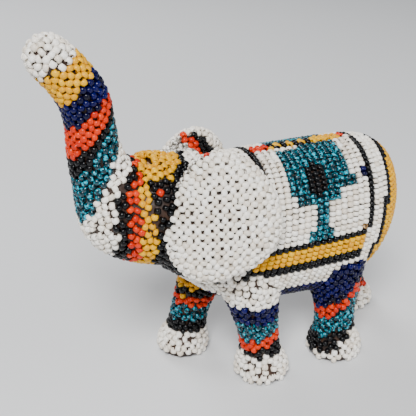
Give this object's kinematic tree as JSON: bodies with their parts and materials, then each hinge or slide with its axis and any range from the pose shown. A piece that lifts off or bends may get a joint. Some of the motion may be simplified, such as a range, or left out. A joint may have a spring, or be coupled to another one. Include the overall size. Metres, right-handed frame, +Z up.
{
  "type": "beaded elephant figurine",
  "caption": "Walking elephant figurine with its trunk raised: carved wood core, wax coat, and a coat of glass seed beads in coloured fields.",
  "frame": {"origin": "on the ground, under the middle of the figure's box", "axes": "-X the way the elephant faces, +Y its right side, +Z up"},
  "size_m": [0.1298, 0.0536, 0.12],
  "materials": {
    "wood": "rough",
    "dowel": "satin",
    "wax": "satin",
    "white_glass": "gloss",
    "yellow_glass": "gloss",
    "orange_glass": "gloss",
    "black_glass": "gloss",
    "navy_glass": "gloss",
    "teal_glass": "gloss",
    "crystal_glass": "gloss"
  },
  "bodies": {
    "root": {"body_core": "wood", "trunk_core": "wood", "ear_core_left": "wood", "ear_core_right": "wood", "trunk_peg": "dowel", "ear_pegs": "dowel", "body_wax": "wax", "trunk_wax": "wax", "ear_wax_left": "wax", "ear_wax_right": "wax", "leg_wax": "wax", "trunk_tip_beads": "white_glass", "trunk_yellow_beads": "yellow_glass", "trunk_navy_beads": "navy_glass", "trunk_orange_beads": "orange_glass", "trunk_black_beads": "black_glass", "trunk_teal_beads": "teal_glass", "chin_white_beads": "white_glass", "face_black_beads": "black_glass", "face_orange_beads": "orange_glass", "face_yellow_beads": "yellow_glass", "cheek_black_beads": "black_glass", "eye_beads": "orange_glass", "ear_beads_left": "white_glass", "ear_beads_right": "white_glass", "ear_inlay_beads": "crystal_glass", "flank_white_beads": "white_glass", "spine_beads": "orange_glass", "flower_beads": "teal_glass", "flower_heart_beads": "black_glass", "collar_beads": "black_glass", "border_black_beads": "black_glass", "border_yellow_beads": "yellow_glass", "belt_white_beads": "white_glass", "belly_navy_beads": "navy_glass", "haunch_black_beads": "black_glass", "haunch_white_beads": "white_glass", "rump_yellow_beads": "yellow_glass", "front_left_foot_beads": "white_glass", "front_left_ankle_beads": "black_glass", "front_left_shin_beads": "orange_glass", "front_left_knee_beads": "teal_glass", "front_left_thigh_beads": "navy_glass", "front_left_hip_beads": "white_glass", "hind_left_foot_beads": "white_glass", "hind_left_ankle_beads": "black_glass", "hind_left_shin_beads": "teal_glass", "hind_left_knee_beads": "orange_glass", "hind_left_thigh_beads": "navy_glass", "front_right_foot_beads": "white_glass", "front_right_ankle_beads": "black_glass", "front_right_shin_beads": "teal_glass", "front_right_knee_beads": "orange_glass", "front_right_thigh_beads": "yellow_glass", "hind_right_foot_beads": "white_glass", "hind_right_ankle_beads": "orange_glass", "hind_right_shin_beads": "black_glass", "hind_right_knee_beads": "teal_glass", "hind_right_thigh_beads": "navy_glass"}
  },
  "joints": []
}
